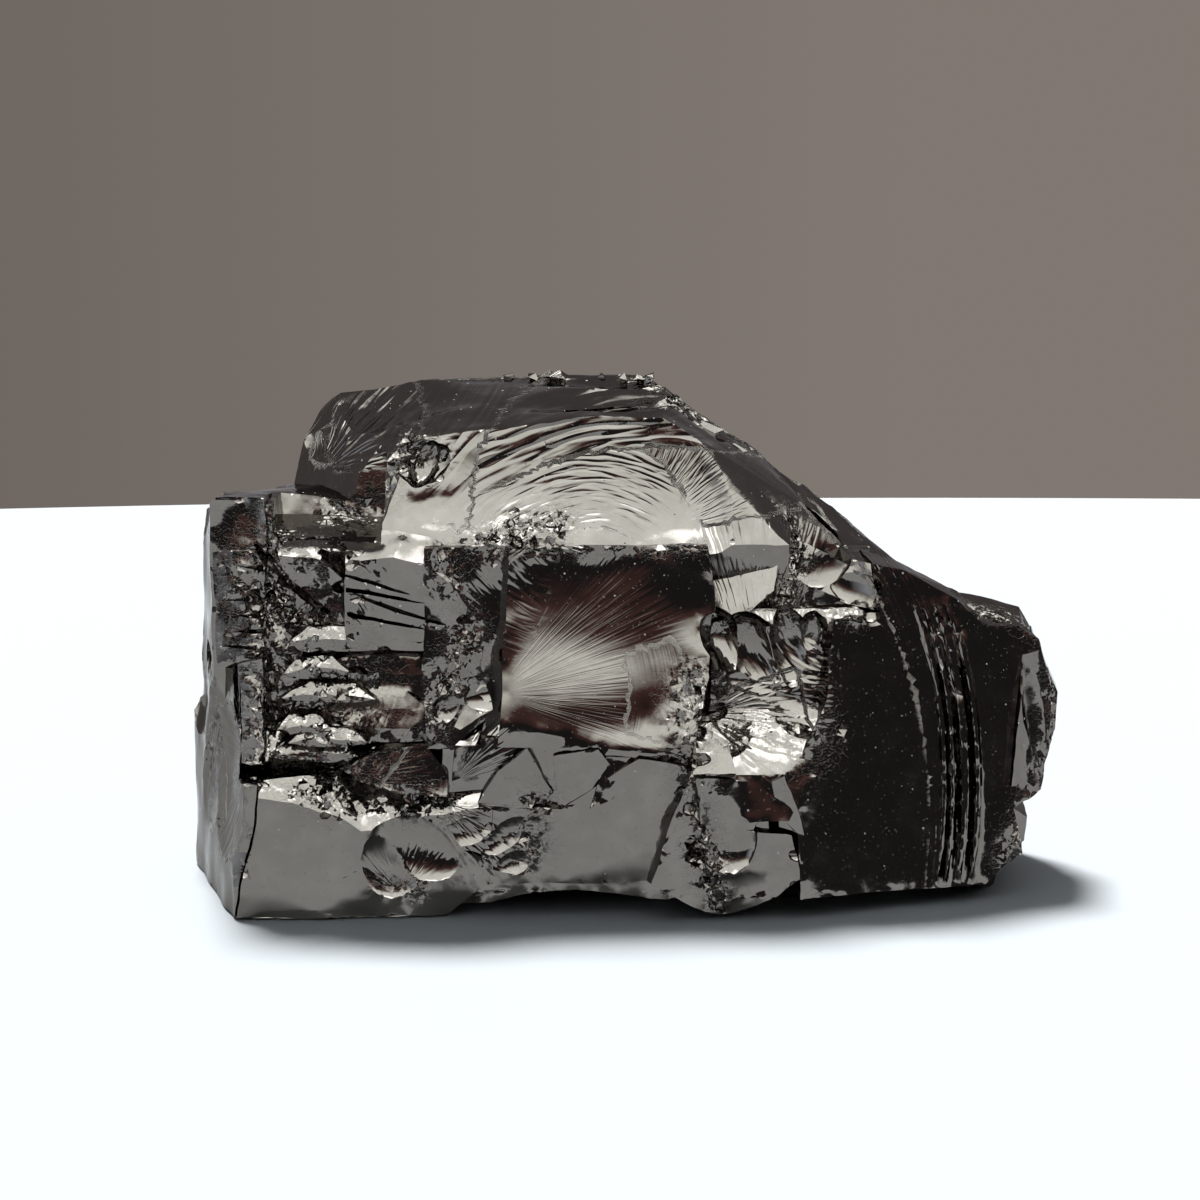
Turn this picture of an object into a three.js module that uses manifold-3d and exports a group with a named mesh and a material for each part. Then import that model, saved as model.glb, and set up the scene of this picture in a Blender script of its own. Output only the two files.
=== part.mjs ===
// A raw piece of noble shungite: one lump of natural carbon glass, black and bright as
// metal. It breaks in three ways, and all three are here. Flat cleavage leaves plates and
// blocky steps, shell breaks leave smooth hollows, and where cracks stopped there are stacks
// of ledges, ribs and chips. Millimetres, +Z up. The origin is under the middle of the stone,
// on the surface it rests on. X runs along its length and its best side faces -Y.
import * as THREE from "three";
import { ConvexGeometry } from "three/addons/geometries/ConvexGeometry.js";
import { mergeVertices } from "three/addons/utils/BufferGeometryUtils.js";
import Module from "manifold-3d";

// Heights of the breaks that run along the front.
const PLINTH_TOP = 8;
const BAND_TOP = 11.2;
const BREAK_EDGE = 24.1;
const SHOULDER_TOP = 27.2;

// How far the front of each storey stands from the middle of the stone.
const PLINTH_FRONT = -16.3;
const BAND_FRONT = -15.4;
const STACK_FRONT = -14.4;
const CORE_FRONT = -11;

// How far a ledge's top runs up for each millimetre back, and a worn edge's bevel.
const LEDGE_RISE = 1.2;
const WORN_BEVEL = 0.1;

const wasm = await Module();
wasm.setup();

// A closed geometry as a solid that can be joined and cut. Swapping two axes turns every face
// inwards, and `swapped` turns them back.
function solid(geometry, swapped = false) {
  for (const name of Object.keys(geometry.attributes)) {
    if (name !== "position") geometry.deleteAttribute(name);
  }
  const merged = mergeVertices(geometry, 1e-4);
  const corners = new Uint32Array(merged.index.array);
  if (swapped) corners.reverse();
  return new wasm.Manifold(
    new wasm.Mesh({
      numProp: 3,
      vertProperties: merged.attributes.position.array,
      triVerts: corners,
    }),
  );
}

const join = (solids) => solids.reduce((whole, next) => whole.add(next));
const carve = (whole, cuts) => cuts.reduce((rest, cut) => rest.subtract(cut), whole);
const slope = (degrees) => Math.tan(THREE.MathUtils.degToRad(degrees));

// A convex lump, given by its corners.
function lump(corners) {
  return solid(new ConvexGeometry(corners.map((c) => new THREE.Vector3(...c))));
}

// A plate on the front of the stone. Its outline is seen from the front, as X and Z. Its face
// passes through `at`, turned towards +X and leaning back by degrees. It runs back to `back`,
// and on the way each edge moves out by `bevel` and the upper ones rise by `rise` as well. The
// whole plate is then carried round the stone by `around` degrees, 180 being the far side.
function plate(shape) {
  const { outline, at, turn = 0, lean = 0, back = -8, bevel = WORN_BEVEL, rise = 0 } = shape;
  const corners = outline.map(([x, z]) => new THREE.Vector2(x, z));
  const profile = new THREE.Shape(corners);
  const geometry = new THREE.ExtrudeGeometry(profile, { depth: 1, bevelEnabled: false });
  const box = new THREE.Box2().setFromPoints(corners);
  const middle = box.getCenter(new THREE.Vector2());
  const point = geometry.attributes.position;
  for (let i = 0; i < point.count; i++) {
    const place = new THREE.Vector2(point.getX(i), point.getY(i));
    const face = at[1] + slope(turn) * (place.x - at[0]) + slope(lean) * (place.y - at[2]);
    const isBack = point.getZ(i) > 0.5;
    if (isBack) {
      const run = back - face;
      const above = place.y > middle.y ? 1 : -1;
      place.x += Math.sign(place.x - middle.x) * bevel * run;
      place.y += (above * bevel + (above > 0 ? rise : 0)) * run;
    }
    point.setXYZ(i, place.x, isBack ? back : face, place.y);
  }
  geometry.rotateZ(THREE.MathUtils.degToRad(shape.around ?? 0));
  return solid(geometry, true);
}

// A ledge: a thin slab with pointed ends. Along its front edge a bright lip runs up and back,
// `lip` deep, to a level top.
function ledge(shape) {
  const { left, right, bottom, top, front, turn = 0, lean = 0, lip = 0.6, back = -10 } = shape;
  const centre = (left + right) / 2;
  const middle = (bottom + top) / 2;
  const tip = Math.min((right - left) / 4, 1.5);
  const outline = [
    [left, middle], [left + tip, bottom], [right - tip, bottom],
    [right, middle], [right - tip, top], [left + tip, top],
  ];
  const around = THREE.MathUtils.degToRad(shape.around ?? 0);
  const lift = lip * LEDGE_RISE;
  const sections = [[front, 0], [front + lip, lift], [back, lift]];
  return solid(new ConvexGeometry(sections.flatMap(([depth, raised]) =>
    outline.map(([x, z]) => {
      const y = depth + slope(turn) * (x - centre) + slope(lean) * (z - middle);
      const corner = new THREE.Vector3(x, y, z > middle ? z + raised : z);
      return corner.applyAxisAngle(new THREE.Vector3(0, 0, 1), around);
    }),
  )));
}

// Everything on the far side of a flat break through `at`, facing along `normal`.
function beyond(at, normal) {
  const size = 300;
  const geometry = new THREE.BoxGeometry(size, size, size);
  geometry.translate(0, 0, size / 2);
  const turned = new THREE.Quaternion().setFromUnitVectors(
    new THREE.Vector3(0, 0, 1),
    new THREE.Vector3(...normal).normalize(),
  );
  geometry.applyQuaternion(turned);
  geometry.translate(...at);
  return solid(geometry);
}

// The hollow of a shell break: an ellipsoid that bites in at `at`, a point on the surface with
// outward normal `normal`. At the surface its half widths are `across` and `along`, `along`
// being the one nearer to Z. It is `depth` deep, and `steep` (0 to 1) is how upright its rim is.
function shell({ at, normal, across, along, depth, steep = 0.2, segments = 24 }) {
  const reach = Math.sqrt(2 * steep - steep * steep);
  const round = depth / steep;
  const geometry = new THREE.SphereGeometry(1, segments, segments / 2);
  geometry.rotateX(Math.PI / 2);
  geometry.scale(across / reach, along / reach, round);
  const up = new THREE.Vector3(...normal).normalize();
  const side = new THREE.Vector3(0, 0, 1).cross(up);
  if (side.length() < 0.1) side.set(1, 0, 0);
  side.normalize();
  const climb = up.clone().cross(side);
  geometry.applyMatrix4(new THREE.Matrix4().makeBasis(side, climb, up));
  const centre = new THREE.Vector3(...at).addScaledVector(up, round - depth);
  geometry.translate(centre.x, centre.y, centre.z);
  return solid(geometry);
}

// A row of crumbs along a broken edge, from one end to the other. Each is a small splintered
// block of eight faces, turned its own way. `chance` gives each a repeatable number from 0 to 1.
function crumbs({ from, to, count, size, seed }) {
  const start = new THREE.Vector3(...from);
  const end = new THREE.Vector3(...to);
  const chance = (i) => Math.abs(Math.sin(seed * 12.9898 + i * 78.233) * 43758.5453) % 1;
  return Array.from({ length: count }, (_, i) => {
    const radius = size * (0.55 + 0.45 * chance(i));
    const geometry = new THREE.OctahedronGeometry(radius, 0);
    geometry.scale(1.3, 0.9, 0.5 + 0.4 * chance(i + 0.3));
    geometry.rotateX(Math.PI * chance(i + 0.5));
    geometry.rotateZ(Math.PI * chance(i + 0.7));
    const along = start.clone().lerp(end, (i + 0.5 * chance(i + 0.9)) / Math.max(count - 1, 1));
    geometry.translate(along.x, along.y + size * (chance(i + 0.1) - 0.5), along.z);
    return solid(geometry);
  });
}

// The sharp rim over the wide hollow, from its left end to where it runs down to the nook.
const CREST_RIM = [
  [-16.8, -9.4, 28], [-14.4, -9.4, 31.1], [-9, -9.4, 31.6], [-2, -9.4, 32.3], [2.2, -9.2, 32.1],
  [5, -8.6, 30.6], [7.8, -8, 28.4], [11.2, -7, 25],
];

// The body behind all the breaks: a wide lower lump, the shoulder on its left, the upper lump
// that is set back, climbs to the crest and slopes away to the right, and the tip on its right.
function body() {
  const lower = lump([
    [-25, -14, 0], [-29.6, -2, 0], [-28, 9, 0], [-20, 16, 0], [1, 17.5, 0], [16, 15, 0],
    [25, 8, 0], [25.5, -5, 0], [12, CORE_FRONT, 0], [-10, CORE_FRONT, 0],
    [-30.4, -1, 9], [-31, 4, 13], [-30, 10, 12], [31, 4, 12], [30.2, 7, 6], [28.6, -3, 12],
    [-28.6, -2, 18], [-28.5, 8, 20], [-20, 14.5, 22], [-12, CORE_FRONT, 23],
    [15.5, -9, 22], [22, -6.5, 18.2], [28, -0.5, 16.6], [21, 13, 16], [2, 16.5, 22],
  ]);
  const shoulder = lump([
    [-27.8, -12.5, 9], [-30.2, -3, 9], [-30.8, 2, 9], [-18, 12, 9], [-15, -12, 9],
    [-27.6, -12.5, SHOULDER_TOP], [-28.6, -8.5, 26.2], [-24.8, 3, 26.8],
    [-18, 6, SHOULDER_TOP], [-15, -11, 26],
  ]);
  const upper = lump([
    [-24.6, 2.5, 24], [-22.6, 14, 24], [-23.4, 4, 30], [-21.6, 8, 33.4], [-19, 12, 33],
    [-16.4, 9, 34.3], [-9, 10, 34.6], [0.8, 6, 34.6], [2.4, 3, 34], [3, 11, 32.5],
    [12.4, 1.5, 27.2], [20, 2, 21.4], [24.2, 2, 18.2], [22, 12, 16], [8, 15, 22],
    [-19, -6, 27], [-20, -5, 20], [13, -8, 18], ...CREST_RIM,
  ]);
  const tip = lump([
    [22.6, -3, 19.9], [25.4, -3, 19.4], [27.4, -3, 18.8], [28.2, -3, 17.4], [24, -7, 17.9],
    [27, -6.6, 17.8], [21, 3, 19.2], [26, 4, 17.6], [19, -8, 15], [28, -3, 12],
  ]);
  return join([lower, shoulder, upper, tip]);
}

// The slope under the crest, which the wide hollow is bitten out of.
function crestSlope() {
  return lump([
    [-17, -11.4, 22], [5.6, -11.4, 22], [10.5, -10.6, 22], [-17, -12.7, BREAK_EDGE],
    [5.6, -12.7, BREAK_EDGE], [10.5, -11, BREAK_EDGE], [-16, 0, 21], [11, 0, 21], ...CREST_RIM,
  ]);
}

// The wide hollow is gentle at its foot and steep under the rim, with a second break to its
// right and a small curled one at its left end.
const CREST_BREAKS = [
  { at: [-4.4, -11.2, 27.9], normal: [0, -0.9, 0.42], across: 14, along: 4.5, depth: 0.62,
    steep: 0.045, segments: 40 },
  { at: [5.6, -10, 28.6], normal: [-0.22, -0.9, 0.36], across: 4.8, along: 4.6, depth: 0.5,
    steep: 0.07, segments: 32 },
  { at: [-13.4, -9.8, 29.4], normal: [-0.2, -0.9, 0.4], across: 1.6, along: 1.3, depth: 0.45 },
];

// The slab that broke along the left end, and the narrow slanting face on its front corner.
function endSlab() {
  const slab = lump([
    [-26, -16.5, 0], [-31, -1, 0], [-31, 0, 8], [-30.8, -1.6, 12], [-28.9, -7, 14.8],
    [-25.9, -16.1, 8.8], [-25.9, -15.4, 16.4], [-24, -12, 0], [-24, -12, 16], [-26, 4, 0],
    [-26, 4, 12],
  ]);
  const corner = lump([
    [-26, -16.5, 0], [-25.9, -16.1, 8.8], [-24.2, -16.6, 8.8], [-25.6, -9, 0], [-25.9, -9, 9.2],
    [-21.4, -9, 9.6], [-22, -9, 0],
  ]);
  return join([slab, corner]);
}

// The gaps that stay black: the crack between the slab and the pillar, the wedge that runs in
// under the stack of ledges, and the notch over the shoulder.
function gaps() {
  const crack = lump([
    [-25.75, -18, 8.8], [-25.35, -18, 8.8], [-25.5, -18, 15.6], [-25.75, -11, 8.8],
    [-25.35, -11, 8.8], [-25.5, -11, 15.6],
  ]);
  const wedge = lump([
    [-25.6, -18, 8.9], [-25.6, -18, 10.3], [-18.6, -18, 9.5], [-25.6, -8, 8.9], [-25.6, -8, 10.3],
    [-18.6, -8, 9.5],
  ]);
  const notch = lump([
    [-23.8, -18, 23.4], [-16.4, -18, 23.4], [-23.8, -7, 25.7], [-16.4, -7, 25.5],
    [-23.8, -6, 30], [-16.4, -6, 30], [-23.8, -18, 30], [-16.4, -18, 30],
  ]);
  return [crack, wedge, notch];
}

// The column at the left of the front, which broke across in rungs as its upper part split off.
function pillar() {
  const storeys = [
    { outline: [[-25.6, 9], [-24, 9], [-24, 17], [-25.6, 16.6]], front: -15 },
    { outline: [[-27.2, 16.5], [-24.2, 16.5], [-24, 24], [-27.4, 23.6]], front: -14 },
    { outline: [[-27.6, 23.4], [-24, 23.8], [-24.2, 27.3], [-27.4, 27.3]], front: -13.6 },
  ].map(({ outline, front }) =>
    plate({ outline, at: [-26, front, 17], turn: -10, lean: 8, bevel: 0 }),
  );
  const slots = Array.from({ length: 9 }, (_, i) => {
    const [left, right] = [-27 + 0.5 * (i % 3), -24.4 + 0.3 * (i % 2)];
    const height = 17.4 + 1.05 * i;
    return plate({
      outline: [[left, height + 0.2], [right, height], [right, height + 0.4]],
      at: [-26, -16, 17], back: -13.2 + 0.2 * (i % 2), bevel: 0,
    });
  });
  return carve(join(storeys), slots);
}

// The lowest storey: a broad flat face on the left, with a round pit in it and a scooped
// ledge along its top, and a second face in the middle that stands clear of the ground.
function plinth() {
  const left = plate({
    outline: [
      [-25.8, 0], [-12, 0], [-11, 1], [-9.5, 2], [-7, 2.2], [-7.5, 7.4], [-13.5, 6.6],
      [-15.5, 6], [-17.5, 5.7], [-19, 6.8], [-21.5, 7.6], [-24.2, PLINTH_TOP],
    ],
    at: [-20, PLINTH_FRONT, 4], turn: 4, lean: -1, back: -11, bevel: 0, rise: LEDGE_RISE,
  });
  const pit = shell({
    at: [-14.6, -16, 3.8], normal: [0.07, -1, 0.1], across: 3, along: 2.4, depth: 0.6,
  });
  const middle = plate({
    outline: [
      [-9.4, 2], [-2.7, 2], [1.4, 2.2], [3.8, 3], [4, 9.8], [0.6, 10.4], [-4.5, 7],
      [-9, 7.2],
    ],
    at: [0, -15.4, 6], turn: 2, lean: -1,
  });
  return join([carve(left, [pit]), middle]);
}

// The row of flat chips over the plinth. Each one broke off at its own angle.
function band() {
  const chips = [
    { outline: [[-19, 9.8], [-17.7, 9], [-15, 8.2], [-12, 7.8], [-12, 9.4], [-13.4, 11.2], [-16, 11]],
      turn: 2, lean: 16 },
    { outline: [[-11.7, 8.8], [-10, 9.4], [-7.9, 10.4], [-7.2, 11.5], [-10, 11.8], [-11.6, 11]],
      turn: -8, lean: 10 },
    { outline: [[-10, 7.4], [-8.8, 6.9], [-7.2, 6.6], [-5, 8.2], [-5.6, 9.2], [-6.8, 11.2],
      [-8.5, 9.6]], turn: 6, lean: -2 },
    { outline: [[-4.6, 7.4], [-3.3, 6.5], [-2.7, 8], [-1.2, 10], [-2, 10.9], [-5, 10.6]],
      turn: -4, lean: 0 },
    { outline: [[-2.6, 7.2], [-0.6, 8.1], [0.5, 9], [0.5, 10.3], [-1.4, 10.4]], turn: 12, lean: 9 },
    { outline: [[-12, 6], [-10, 3.2], [-7, 2.6], [-5.4, 4.4], [-5, 5.8], [-7, 6.6], [-9.6, 7.2]],
      turn: 8, lean: 8 },
    { outline: [[-6, 6.6], [-4.6, 6.8], [-4.4, 7.6], [-5.8, 7.4]], turn: 0, lean: 50 },
  ];
  const backing = plate({
    outline: [[-12.4, 6], [4, 8], [4, 10.4], [0.6, 10.9], [-4.6, BAND_TOP], [-12.4, 11.4]],
    at: [0, BAND_FRONT + 0.6, 9], bevel: 0, rise: LEDGE_RISE,
  });
  const plates = chips.map(({ outline, turn, lean }, i) => {
    const [x, z] = outline[0];
    return plate({ outline, at: [x + 2, BAND_FRONT - 0.15 * (i % 3), z], turn, lean });
  });
  return join([backing, ...plates]);
}

// The stack of ledges on the left: a big flat leaf and a small one, split by wedge cracks,
// over narrow shelves that step in and out.
function stack() {
  const backing = plate({
    outline: [
      [-24.4, 10.4], [-13.4, 11.4], [-13, 14], [-12, 17], [-11.4, 20], [-12.2, 22],
      [-14, 23], [-19, 23.6], [-24.4, 25.4],
    ],
    at: [-17, STACK_FRONT + 1.4, 17], turn: -2, lean: 6,
  });
  const leaf = plate({
    outline: [
      [-18.6, 17.6], [-12.6, 18.2], [-11, 19], [-10.7, 20.4], [-11.6, 21.8], [-13.2, 23],
      [-15.4, 23.6], [-18.6, 23.4],
    ],
    at: [-15, STACK_FRONT - 0.6, 20], turn: 2, lean: -1, rise: 0.6, back: -12.6,
  });
  const smallLeaf = plate({
    outline: [[-23, 23.8], [-22.6, 22.6], [-21.6, 21.6], [-20, 21.4], [-18.8, 22.2], [-20.2, 23.4]],
    at: [-21, STACK_FRONT - 0.3, 22.5], turn: -4, lean: 1, rise: 0.6, back: -12.6,
  });
  const wedges = [
    { tip: [-12.8, 20.3], mouth: [[-18.8, 21.9], [-18.8, 21]] },
    { tip: [-12.4, 18.5], mouth: [[-18.8, 20.3], [-18.8, 19.4]] },
  ].map(({ tip, mouth }) =>
    plate({ outline: [tip, ...mouth], at: [-15, -18, 20], back: -13.6, bevel: -0.1 }),
  );
  const shelves = [
    { left: -22.6, right: -11.8, bottom: 17.4, top: 18.2, front: -14.7, lean: -1 },
    { left: -22.8, right: -18.4, bottom: 15.6, top: 16.3, front: -15, lean: 0 },
    { left: -20.2, right: -12.6, bottom: 15.8, top: 17, front: -13.9, lean: 9 },
    { left: -22.8, right: -16.6, bottom: 14.1, top: 14.6, front: -15.2, lean: 0 },
    { left: -20, right: -13.2, bottom: 12.2, top: 14.6, front: -13.8, lean: 15 },
    { left: -23.2, right: -19.6, bottom: 12, top: 12.5, front: -15.4, lean: 0 },
    { left: -22.4, right: -17.2, bottom: 11.2, top: 11.7, front: -15.6, lean: 2 },
    { left: -23.8, right: -17.8, bottom: 10.2, top: 10.8, front: -15.3, lean: 6 },
  ].map(ledge);
  const grit = [
    { from: [-23.6, -13.2, 20.5], to: [-21.5, -13.2, 17.5], count: 4, size: 0.8, seed: 3 },
    { from: [-22.4, -13.4, 19.4], to: [-19, -13.4, 18.6], count: 4, size: 0.8, seed: 5 },
    { from: [-23.7, -13.6, 16.5], to: [-23.5, -13.8, 11], count: 5, size: 0.7, seed: 8 },
    { from: [-23.6, -14, 25], to: [-19, -14.2, 24], count: 5, size: 0.7, seed: 11 },
  ].flatMap(crumbs);
  const crack = plate({
    outline: [[-24.4, 23.4], [-23.6, 23.8], [-19.8, 19.4], [-20.4, 19]],
    at: [-22, -18, 21], back: -12.6, bevel: -0.06,
  });
  const whole = join([backing, carve(leaf, wedges), smallLeaf, ...shelves, ...grit]);
  return carve(whole, [crack]);
}

// The middle of the front: one shell break, steep above and flaring out at its foot, with a
// strip on its left that turns away from the leaf.
function centre() {
  const block = plate({
    outline: [
      [-8, BREAK_EDGE], [5.2, BREAK_EDGE], [5.6, 20.4], [5, 15.2], [4.1, 10.6], [-4.6, 11.2],
      [-8.6, 11.2],
    ],
    at: [0, -15.6, 17], bevel: 0,
  });
  const bite = shell({
    at: [-1, -15.6, 28.4], normal: [0.03, -1, 0], across: 22, along: 17.1, depth: 3.6,
    steep: 0.086, segments: 48,
  });
  const strip = plate({
    outline: [[-13.4, BREAK_EDGE], [-7, BREAK_EDGE], [-5.6, 17], [-6.6, 11.2], [-13.4, 11.2]],
    at: [-9, -13.6, 17], turn: 28, lean: 6, bevel: 0,
  });
  const flakes = [
    { outline: [[-12.8, 13.2], [-11, 12.4], [-9, 13.6], [-9.4, 15.2], [-11.6, 15]], lean: 22, turn: 4 },
    { outline: [[-13, 11.4], [-10, 11.4], [-9.4, 13], [-11.6, 13.4]], lean: 50, turn: -12 },
    { outline: [[-12, 15.6], [-10, 15.8], [-9.6, 17.6], [-11.6, 17.4]], lean: 4, turn: 14 },
  ].map(({ outline, lean, turn }) =>
    plate({ outline, at: [outline[0][0], -15.2, outline[0][1]], lean, turn }),
  );
  return join([carve(block, [bite]), strip, ...flakes]);
}

// The big dark face on the right. Curved ribs cross it, and its far edge is a row of splinters.
function darkFace() {
  const lie = { at: [12, -14.5, 10], turn: 22, lean: 10 };
  const face = plate({
    ...lie,
    outline: [
      [11.2, 1.2], [16, 1.2], [24.2, 0.9], [25.6, 2.1], [26.9, 2.7], [26.2, 5.8], [28.2, 6.8],
      [28.9, 10.2], [29.1, 13.6], [28.2, 17], [26.7, 18], [24.1, 18.2], [22.3, 20],
      [18.4, 22.2], [16.3, 22.7], [16.7, 19.4], [13.5, 19.1], [13.1, 14], [10.8, 9.2],
    ],
    back: -6,
  });
  const ribs = [
    { start: 18.6, end: 20.6, width: 0.3, height: 0.25 },
    { start: 19.2, end: 21.2, width: 0.25, height: 0.35 },
    { start: 20, end: 22, width: 0.5, height: 0.3 },
    { start: 20.8, end: 23, width: 0.3, height: 0.4 },
  ].map(({ start, end, width, height }) => {
    const bow = new THREE.QuadraticBezierCurve(
      new THREE.Vector2(start + 0.6, 19.8), new THREE.Vector2(end + 1.4, 12),
      new THREE.Vector2(end, 1.4),
    ).getPoints(8);
    const outline = [
      ...bow.map(({ x, y }) => [x, y]),
      ...bow.slice(1, -1).reverse().map(({ x, y }) => [x + width, y]),
    ];
    const at = [lie.at[0], lie.at[1] - height, lie.at[2]];
    return plate({ ...lie, outline, at, bevel: 0.5, back: -7 });
  });
  const splinters = [
    { outline: [[26, 7.4], [28.4, 7], [29.4, 10], [29.6, 13.4], [28.1, 16.3], [27, 16]],
      at: [28, -7.4, 12], turn: 48 },
    { outline: [[28.4, 8], [29.8, 10.4], [30, 13], [29.2, 14.6]], at: [29, -5, 12], turn: 20 },
    { outline: [[24.4, 1.2], [27.6, 2.8], [27.8, 4.4], [26.4, 5.4], [25, 4]],
      at: [26, -7.6, 3], turn: 40 },
  ].map(({ outline, at, turn }) => plate({ outline, at, turn, lean: 4, back: 0 }));
  return join([face, ...ribs, ...splinters]);
}

// The foot, the lowest part of the front right, is a bundle of narrow upright facets.
function foot() {
  const facets = [
    { outline: [[1.3, 2.4], [3.9, 0.8], [5.9, 0], [7.5, 0.2], [9.5, 1], [9, 8.8], [4, 10]],
      at: [6, -16.1, 4], turn: 14, lean: 4 },
    { outline: [[6.2, 1], [9.6, 1.4], [11.2, 2.6], [10.6, 5.4], [7, 6]],
      at: [8, -16.6, 4], turn: 8, lean: -1 },
    { outline: [[4.2, 9.4], [5, 3], [6.6, 1.4], [7.4, 4.4], [9.8, 8.8]],
      at: [6, -16.7, 6], turn: 18, lean: 6 },
    { outline: [[9.4, 9], [9.8, 6], [11.4, 5.4], [11, 7], [10.2, 9.4]],
      at: [10, -16, 8], turn: 0, lean: 0 },
  ];
  return join(facets.map((facet) => plate(facet)));
}

// The white bench, a shelf that runs far back under the scallops, and the scallops over it.
function bench() {
  const seat = lump([
    [3.8, -15.8, 9.4], [10.2, -15.6, 9.4], [13, -13.4, 11.6], [13.6, -11.4, 13], [7.4, -12, 13.4],
    [4.2, -13, 12.4], [3.9, -16.4, 6.4], [10.4, -16.3, 6.4], [12, -9, 7], [4, -9, 7], [12, -9, 12],
    [5, -9, 12],
  ]);
  const step = plate({
    outline: [[4, 9.6], [6.8, 9.6], [6.4, 11.6], [5.4, 12.6], [4, 12.4]],
    at: [5, -16.2, 10], turn: -10, lean: 36, back: -11,
  });
  const wall = plate({
    outline: [[5.4, 13], [13.6, 12.6], [13.8, 19.4], [7, 19], [5.6, 18.6]],
    at: [9.5, -11.6, 16], turn: 8, lean: 8,
  });
  const scallops = [
    shell({ at: [8.4, -12.2, 16.6], normal: [-0.45, -1, 0.3], across: 1.6, along: 2.6, depth: 0.7 }),
    shell({ at: [10.6, -11.9, 16.2], normal: [-0.45, -1, 0.3], across: 1.5, along: 2.8, depth: 0.7 }),
    shell({ at: [12.4, -11.6, 15.8], normal: [-0.45, -1, 0.3], across: 1.1, along: 2.4, depth: 0.6 }),
  ];
  return join([seat, step, carve(wall, scallops)]);
}

// The nook between the hollow, the scallops and the dark face: flat cheeks round a dark corner,
// with a bright sill under it.
function nook() {
  const cheeks = [
    { outline: [[5.2, 19.6], [7.4, 19.2], [9.6, 21], [10, 25], [5.4, 24.8]],
      at: [7, -11, 22], turn: -6, lean: 28 },
    { outline: [[7.2, 19.4], [9.6, 20.4], [10.4, 24.8], [7.6, 24.8]],
      at: [9, -10.6, 22], turn: 16, lean: 12 },
    { outline: [[11, 21.4], [15, 20], [15.6, 22], [11.6, 24]], at: [13, -8.6, 22], turn: -20, lean: 30 },
    { outline: [[14.2, 20], [16.6, 19.6], [16.2, 22.6], [15, 22.8]],
      at: [15, -9.6, 21], turn: -30, lean: 20 },
  ].map((cheek) => plate({ ...cheek, back: -4 }));
  const sill = ledge({
    left: 5.8, right: 16.8, bottom: 18.4, top: 19, front: -12.2, turn: 10, lean: 20, back: -6,
  });
  const grit = crumbs({
    from: [10, -10.2, 24.6], to: [9.6, -10.2, 20], count: 6, size: 0.7, seed: 21,
  });
  return join([...cheeks, sill, ...grit]);
}

// The crumbs that stand along the crest and down its right end, and the white patch below them.
function crest() {
  return [
    { from: [-8.6, 8, 34.3], to: [-5, 7, 34.4], count: 4, size: 0.8, seed: 31 },
    { from: [-3, 7, 34.3], to: [1.4, 4, 34.5], count: 5, size: 0.7, seed: 34 },
    { from: [2.8, -1, 32.8], to: [7, -2, 29.8], count: 5, size: 1.2, seed: 37 },
    { from: [-16.4, -9.2, 28.4], to: [-14.6, -9.2, 31], count: 4, size: 0.8, seed: 41 },
    { from: [-8, -12.1, 24.8], to: [-4.6, -11.9, 25.2], count: 5, size: 0.6, seed: 47 },
  ].flatMap(crumbs);
}

// The breaks on top: long shallow shells across the crest and a curled one at its left end.
const TOP_BREAKS = [
  { at: [-3, -2, 33.1], normal: [0.05, -0.16, 1], across: 8, along: 3.4, depth: 0.6 },
  { at: [-1, 3.4, 34.2], normal: [-0.05, -0.1, 1], across: 9, along: 2.2, depth: 0.4 },
  { at: [-16.5, 2.5, 32.6], normal: [-0.2, -0.3, 1], across: 4.4, along: 5, depth: 0.4 },
  { at: [15, -2, 24.3], normal: [0.5, -0.35, 0.8], across: 2.2, along: 6, depth: 0.5 },
];

// The far side: one big shell break between flat cleavage faces, and a short stack of ledges.
const BACK_BREAKS = [
  { at: [8, 15.2, 15], normal: [0.25, 1, 0.3], across: 14, along: 11, depth: 2.4, segments: 32 },
  { at: [-5, 12.4, 29], normal: [-0.1, 0.75, 0.65], across: 10, along: 6, depth: 1.2 },
  { at: [-24, 12.6, 10], normal: [-0.7, 1, 0], across: 8, along: 10, depth: 1.6 },
  { at: [26, 7, 7], normal: [0.9, 0.8, 0], across: 7, along: 8, depth: 1.3 },
];
const BACK_FLATS = [
  { at: [0, 15.6, 8], normal: [0.06, 1, 0.02] },
  { at: [-14, 12.4, 24], normal: [-0.25, 1, 0.45] },
  { at: [14, 9.5, 24], normal: [0.5, 0.75, 0.62] },
  { at: [-27, 8, 14], normal: [-1, 0.62, 0.1] },
  { at: [27.4, 6, 10], normal: [1, 0.55, 0.1] },
];

function backLedges() {
  const shelves = [
    { left: 8, right: 17.6, bottom: 12, top: 13, front: -16.4 },
    { left: 10.4, right: 19.8, bottom: 13.6, top: 14.2, front: -16 },
    { left: 9.2, right: 15.4, bottom: 15, top: 16.4, front: -16.2 },
    { left: 12, right: 19.4, bottom: 17, top: 17.6, front: -15.6 },
    { left: 8.6, right: 16.2, bottom: 18.4, top: 20, front: -15.4 },
  ].map((shelf) => ledge({ ...shelf, turn: -4, back: -7, around: 180 }));
  const leaves = [
    { outline: [[-12, 3], [-4, 1.6], [-2.6, 6], [-5, 12], [-10.4, 13]], at: [-8, -16.4, 6],
      turn: 8, lean: 2 },
    { outline: [[1, 18], [8, 17], [10, 21], [6, 25.4], [1.6, 24.6]], at: [5, -14, 20],
      turn: -6, lean: 14 },
  ].map((leaf) => plate({ ...leaf, back: -7, around: 180 }));
  return join([...shelves, ...leaves]);
}

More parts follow.
